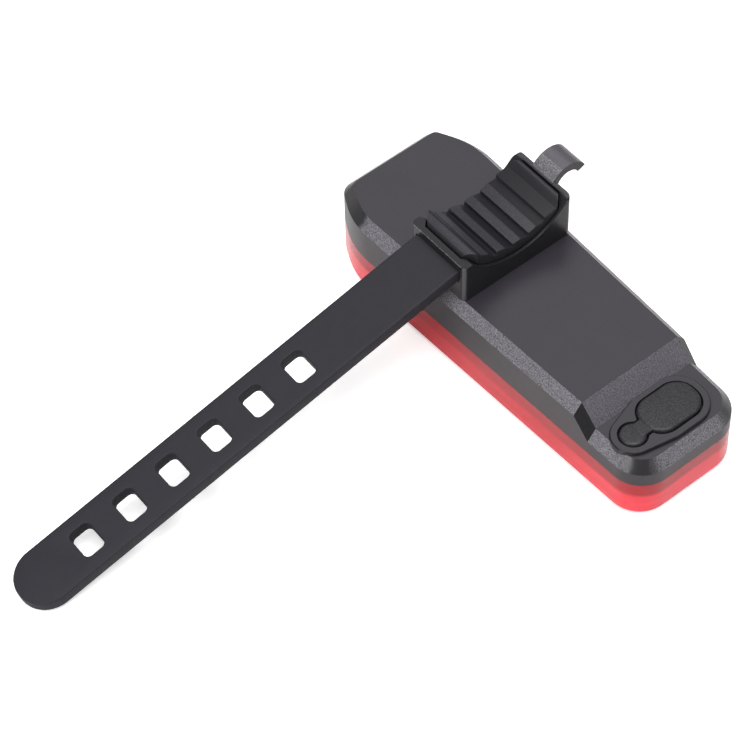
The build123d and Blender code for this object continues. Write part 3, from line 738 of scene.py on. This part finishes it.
def ribs_round_saddle(rib, finish):
    """Geometry nodes that set the rib round the post's circle, one pitch apart along Y."""
    tree = bpy.data.node_groups.new("ribs_round_saddle", "GeometryNodeTree")
    tree.interface.new_socket("Geometry", in_out="INPUT", socket_type="NodeSocketGeometry")
    tree.interface.new_socket("Geometry", in_out="OUTPUT", socket_type="NodeSocketGeometry")
    add_input(tree, "Ribs", "NodeSocketInt", 4)
    add_input(tree, "First foot", "NodeSocketFloat", (rib_first_y - post_y) * MM)
    add_input(tree, "Pitch", "NodeSocketFloat", rib_pitch * MM)
    add_input(tree, "Post radius", "NodeSocketFloat", post_radius * MM)
    add_input(tree, "Post middle", "NodeSocketVector", (saddle_x * MM, post_y * MM, post_z * MM))
    given = tree.nodes.new("NodeGroupInput")
    points = tree.nodes.new("GeometryNodePoints")
    tree.links.new(given.outputs["Ribs"], points.inputs["Count"])
    tree.links.new(given.outputs["Post middle"], points.inputs["Position"])
    index = tree.nodes.new("GeometryNodeInputIndex").outputs["Index"]
    along = math_node(tree, "MULTIPLY", index, given.outputs["Pitch"])
    foot = math_node(tree, "ADD", along, given.outputs["First foot"])
    share = math_node(tree, "DIVIDE", foot, given.outputs["Post radius"])
    turn = math_node(tree, "ARCSINE", share)
    spin = tree.nodes.new("ShaderNodeCombineXYZ")
    tree.links.new(turn, spin.inputs["X"])
    rotation = tree.nodes.new("FunctionNodeEulerToRotation")
    tree.links.new(spin.outputs["Vector"], rotation.inputs["Euler"])
    one_rib = tree.nodes.new("GeometryNodeObjectInfo")
    one_rib.inputs["Object"].default_value = rib
    on_points = tree.nodes.new("GeometryNodeInstanceOnPoints")
    tree.links.new(points.outputs["Points"], on_points.inputs["Points"])
    tree.links.new(one_rib.outputs["Geometry"], on_points.inputs["Instance"])
    tree.links.new(rotation.outputs["Rotation"], on_points.inputs["Rotation"])
    moulded = tree.nodes.new("GeometryNodeMeshBoolean")
    moulded.operation = "UNION"
    moulded.solver = "EXACT"
    tree.links.new(on_points.outputs["Instances"], moulded.inputs["Mesh 2"])
    tree.links.new(given.outputs["Geometry"], moulded.inputs["Mesh 2"])
    real = tree.nodes.new("GeometryNodeRealizeInstances")
    tree.links.new(moulded.outputs["Mesh"], real.inputs["Geometry"])
    finished = tree.nodes.new("GeometryNodeSetMaterial")
    finished.inputs["Material"].default_value = finish
    tree.links.new(real.outputs["Geometry"], finished.inputs["Geometry"])
    result = tree.nodes.new("NodeGroupOutput")
    tree.links.new(finished.outputs["Geometry"], result.inputs["Geometry"])
    return tree


pad_solid = extruded(
    [(saddle_x - pad_half_width, y, z) for y, z in pad_profile()], (2 * pad_half_width, 0, 0)
)
for x_side in (-1, 1):
    for y_side in (-1, 1):
        cut_corner(pad_solid, x_side, y_side)
turn_outward(pad_solid)
round_corners(pad_solid, 40, 0.22, 3)
bmesh.ops.scale(pad_solid, verts=pad_solid.verts, vec=(MM, MM, MM))
pad_mesh = bpy.data.meshes.new("ribbed_pad")
pad_solid.to_mesh(pad_mesh)
pad_solid.free()
# The lip's and the roll's crests get the grain and the paler painted light of the lands.
pad_grain_and_painted_light = pad_mesh.attributes.new(land_grain_and_painted_light, "FLOAT", "FACE")
for face in pad_mesh.polygons:
    y, z = face.center.y / MM, face.center.z / MM
    on_lip = -9.8 < y < -8.6 and z > 26.3
    on_roll = 9.9 < y < 10.9 and z > 26.2
    pad_grain_and_painted_light.data[face.index].value = 1.0 if on_lip or on_roll else 0.0
smooth_by_angle(pad_mesh, 35)
pad = new_piece("ribbed_pad", pad_mesh, [pad_finish])
rib_holder = bpy.data.objects.new("saddle_rib", rib_mesh())
rib_holder.data.materials.append(pad_finish)
ribs = pad.modifiers.new("ribs", "NODES")
ribs.node_group = ribs_round_saddle(rib_holder, pad_finish)
applied(pad)
smooth_by_angle(pad.data, 35)
bpy.data.objects.remove(rib_holder)
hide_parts("saddle_pad")
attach(pad, "lamp")


# Power button
button = rounded_copy("power_button", "button_cap", [button_finish], 0.15)
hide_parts("power_button")
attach(button, "button")


# Strap: one moulding with six holes, cut into lengths between the hinge places, with rows of edges
# across it round each hinge

def strap_place(across, along, up):
    """A point of the flat strap, in millimetres, laid on its line out of the slot."""
    side = Vector((-math.cos(strap_yaw), math.sin(strap_yaw), 0))
    slope = strap_slope if along > 0 else 0.0
    run = Vector((
        -math.sin(strap_yaw) * math.cos(slope),
        -math.cos(strap_yaw) * math.cos(slope),
        -math.sin(slope),
    ))
    normal = side.cross(run)
    return (strap_root + side * across + run * along + normal * up) * MM


def strap_outlines(edge_radius):
    """The flat strap's outline and its holes, each drawn in by the radius of its rounded edge."""
    half = strap_width / 2 - edge_radius
    straight_end = strap_length - strap_width / 2
    outer = [(-half, -strap_tucked), (half, -strap_tucked)]
    outer += arc((0, straight_end), half, 0, 180, 40)
    holes = []
    for index in range(hole_count):
        centre = (0, hole_first + index * hole_pitch)
        holes.append(rounded_rectangle(
            centre, hole_width + 2 * edge_radius, hole_length + 2 * edge_radius,
            hole_corner + edge_radius,
        ))
    return [outer] + holes


strap_edge = 0.28
strap_sheet = moulded_sheet("strap", strap_outlines(strap_edge), strap_thickness, strap_edge)
segment_starts = [root_length / root_segments * i for i in range(root_segments)]
segment_starts += [root_length + hole_pitch * i for i in range(hole_count)]
bend_reach = 2.3
cuts_each_side = 4
for hinge_at in segment_starts:
    for step in range(-cuts_each_side, cuts_each_side + 1):
        cut_across(strap_sheet, hinge_at + bend_reach * step / cuts_each_side)
segment_middles = [
    (start + end) / 2
    for start, end in zip(segment_starts[:root_segments], segment_starts[1 : root_segments + 1])
]
segment_middles += [hole_first + hole_pitch * i for i in range(hole_count)]

cut_places = [None] + segment_middles + [None]
for index in range(len(segment_starts) + 1):
    part = slice_between(strap_sheet, cut_places[index], cut_places[index + 1])
    for vertex in part.verts:
        vertex.co = strap_place(*vertex.co)
    turn_outward(part)
    mesh = bpy.data.meshes.new(f"strap_length_{index}")
    part.to_mesh(mesh)
    part.free()
    smooth_by_angle(mesh, 35)
    length = new_piece(f"strap_length_{index}", mesh, [strap_finish])
    if index > 0:
        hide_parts(f"strap_segment_{index}")
    before = "lamp" if index == 0 else f"strap_{index}"
    if index < len(segment_starts):
        hinge_at = segment_starts[index]
        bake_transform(length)
    else:
        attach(length, before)
strap_sheet.free()


# Port cover: tab, neck and round end in one soft moulding
port_x, port_y = 31.7, 1.3
anchor_x, anchor_y, anchor_radius = 32.0, -6.95, 2.3
cover_width, cover_length, cover_radius = 7.6, 11.2, 3.4
cover_low, cover_high = 12.3, 14.5
neck_low, neck_high = 13.5, 14.3
cover_hinge_y = -4.55
neck_width, neck_length, neck_radius = 2.6, 3.0, 0.3
plug_width, plug_length, plug_radius = 2.8, 8.5, 1.3
plug_reach, plug_sunk = 0.3, 0.6
neck_bend_gap = 0.2
round_end_drop = 0.3


def add_moulding(target, name, outline, low, high, edge_radius, bends=()):
    """Adds a flat moulding between two heights to a mesh being built, in metres."""
    sheet = moulded_sheet(name, [outline], high - low, edge_radius)
    for bend in bends:
        cut_across(sheet, bend)
    part = bpy.data.meshes.new(name)
    bmesh.ops.translate(sheet, verts=sheet.verts, vec=(0, 0, (low + high) / 2))
    bmesh.ops.scale(sheet, verts=sheet.verts, vec=(MM, MM, MM))
    sheet.to_mesh(part)
    sheet.free()
    target.from_mesh(part)
    bpy.data.meshes.remove(part)


cover_edge = 0.45
thin_edge = 0.2
cover = bmesh.new()
tab_outline = rounded_rectangle(
    (port_x, port_y), cover_width - 2 * cover_edge, cover_length - 2 * cover_edge,
    cover_radius - cover_edge, steps=14,
)
round_outline = arc((anchor_x, anchor_y), anchor_radius - cover_edge, 0, 352, 44)
neck_outline = rounded_rectangle(
    (anchor_x, cover_hinge_y), neck_width, neck_length, neck_radius, steps=3
)
plug_outline = rounded_rectangle((port_x, port_y), plug_width, plug_length, plug_radius)
add_moulding(cover, "tab", tab_outline, cover_low, cover_high, cover_edge)
add_moulding(cover, "round_end", round_outline, cover_low, cover_high - round_end_drop, cover_edge)
neck_bends = [cover_hinge_y + neck_bend_gap * step for step in range(-3, 4)]
add_moulding(cover, "neck", neck_outline, neck_low, neck_high, thin_edge, bends=neck_bends)
add_moulding(
    cover, "plug", plug_outline, cover_low - plug_reach, cover_low + plug_sunk, thin_edge
)
cover_mesh = bpy.data.meshes.new("port_cover")
cover.to_mesh(cover_mesh)
cover.free()
smooth_by_angle(cover_mesh, 50)
port_cover = new_piece("port_cover", cover_mesh, [cover_finish])
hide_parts("port_cover_tab")
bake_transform(port_cover)


# Pieces that keep their solids, each with its own finish
kept_finishes = {
    "port_cover_anchor": cover_finish,
    "housing_gasket": gasket_finish,
    "reflector": reflector_finish,
    "circuit_board": board_finish,
    "leds": diode_finish,
    "board_components": chip_finish,
    "board_screws": screw_finish,
    "bracket_screws": screw_finish,
    "battery": foil_finish,
    "battery_foam": foam_finish,
    "battery_lead_red": red_wire_finish,
    "battery_lead_black": black_wire_finish,
    "charging_socket": screw_finish,
    "socket_tongue": chip_finish,
    "tact_switch": chip_finish,
    "switch_plunger": plunger_finish,
}
for node, finish in kept_finishes.items():
    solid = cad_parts[node]
    for slot in solid.material_slots:
        slot.material = finish


# Floor, light and camera

def pale_floor():
    """Pale floor that shows near white to the camera and keeps the object's shadow."""
    material, tree, shader = new_material("pale_floor")
    shader.inputs["Base Color"].default_value = (0.86, 0.86, 0.86, 1.0)
    shader.inputs["Roughness"].default_value = 0.9
    shader.inputs["Specular IOR Level"].default_value = 0.0
    glow = tree.nodes.new("ShaderNodeEmission")
    glow.inputs["Color"].default_value = (1.0, 1.0, 1.0, 1.0)
    glow.inputs["Strength"].default_value = 0.5
    both = tree.nodes.new("ShaderNodeAddShader")
    tree.links.new(shader.outputs["BSDF"], both.inputs[0])
    tree.links.new(glow.outputs["Emission"], both.inputs[1])
    path = tree.nodes.new("ShaderNodeLightPath")
    choose = tree.nodes.new("ShaderNodeMixShader")
    tree.links.new(path.outputs["Is Camera Ray"], choose.inputs["Fac"])
    tree.links.new(shader.outputs["BSDF"], choose.inputs[1])
    tree.links.new(both.outputs["Shader"], choose.inputs[2])
    tree.links.new(choose.outputs["Shader"], tree.nodes["Material Output"].inputs["Surface"])
    return material


floor_mesh = bpy.data.meshes.new("floor")
reach = 3.0
floor_level = -0.02 * MM
floor_mesh.from_pydata(
    [(x * reach, y * reach, floor_level) for x, y in ((-1, -1), (1, -1), (1, 1), (-1, 1))],
    [], [(0, 1, 2, 3)],
)
floor = new_piece("floor", floor_mesh, [pale_floor()])

world = bpy.data.worlds.new("studio")
world.use_nodes = True
world.node_tree.nodes["Background"].inputs["Color"].default_value = (1.0, 1.0, 1.0, 1.0)
world.node_tree.nodes["Background"].inputs["Strength"].default_value = 0.27
bpy.context.scene.world = world


def soft_light(name, place, size, power):
    """A square softbox, in metres and watts, turned to the object."""
    lamp = bpy.data.lights.new(name, "AREA")
    lamp.shape = "SQUARE"
    lamp.size = size
    lamp.energy = power
    holder = bpy.data.objects.new(name, lamp)
    bpy.context.scene.collection.objects.link(holder)
    holder.location = place
    aim = Vector(light_target) - Vector(place)
    holder.rotation_euler = aim.to_track_quat("-Z", "Y").to_euler()


light_target = (0, 0, 0.01)
soft_light("front_softbox", (0.1, -0.85, 0.4), 0.4, 3.4)
soft_light("top_softbox", (0.15, -0.1, 0.95), 0.8, 11.5)
soft_light("back_softbox", (-0.5, 0.4, 0.85), 0.65, 1.5)

camera_data = bpy.data.cameras.new("camera")
camera_data.sensor_width = 36.0
camera_data.lens = 151.16
camera_data.clip_start = 0.02
camera_data.clip_end = 20.0
camera = bpy.data.objects.new("camera", camera_data)
bpy.context.scene.collection.objects.link(camera)
right = Vector((0.6351, 0.7723, -0.0172))
up = Vector((-0.6070, 0.5126, 0.6073))
back = Vector((0.4778, -0.3752, 0.7943))
turn = Matrix((right, up, back)).transposed().to_4x4()
camera.matrix_world = Matrix.Translation((0.24482, -0.22722, 0.42862)) @ turn
bpy.context.scene.camera = camera
bpy.context.scene.view_settings.view_transform = "Standard"
